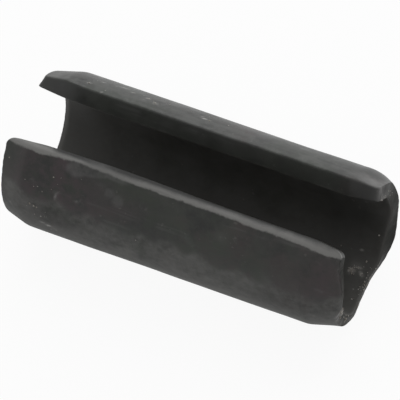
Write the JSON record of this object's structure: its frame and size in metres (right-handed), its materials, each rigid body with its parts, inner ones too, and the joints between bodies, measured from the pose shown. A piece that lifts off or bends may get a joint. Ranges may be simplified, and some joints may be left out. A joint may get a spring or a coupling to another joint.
{
  "type": "retaining clip",
  "caption": "Slotted retaining clip: a steel strip rolled into an open sleeve with tapered ends and cut-back lip corners, for holding itself in a round hole.",
  "frame": {"origin": "middle of the sleeve's axis, halfway between the nominal ends", "axes": "+X along the sleeve's axis towards the end with the uneven edge, +Z out through the middle of the slot, -Y towards the lip with the rolled-over corner"},
  "size_m": [0.0242, 0.0104, 0.0098],
  "materials": {
    "blackened_steel": "satin black oxide over steel, rubbed grey along the lips and ends, with fine pits and pale specks"
  },
  "bodies": {
    "root": {"retaining_clip": "blackened_steel"}
  },
  "joints": []
}
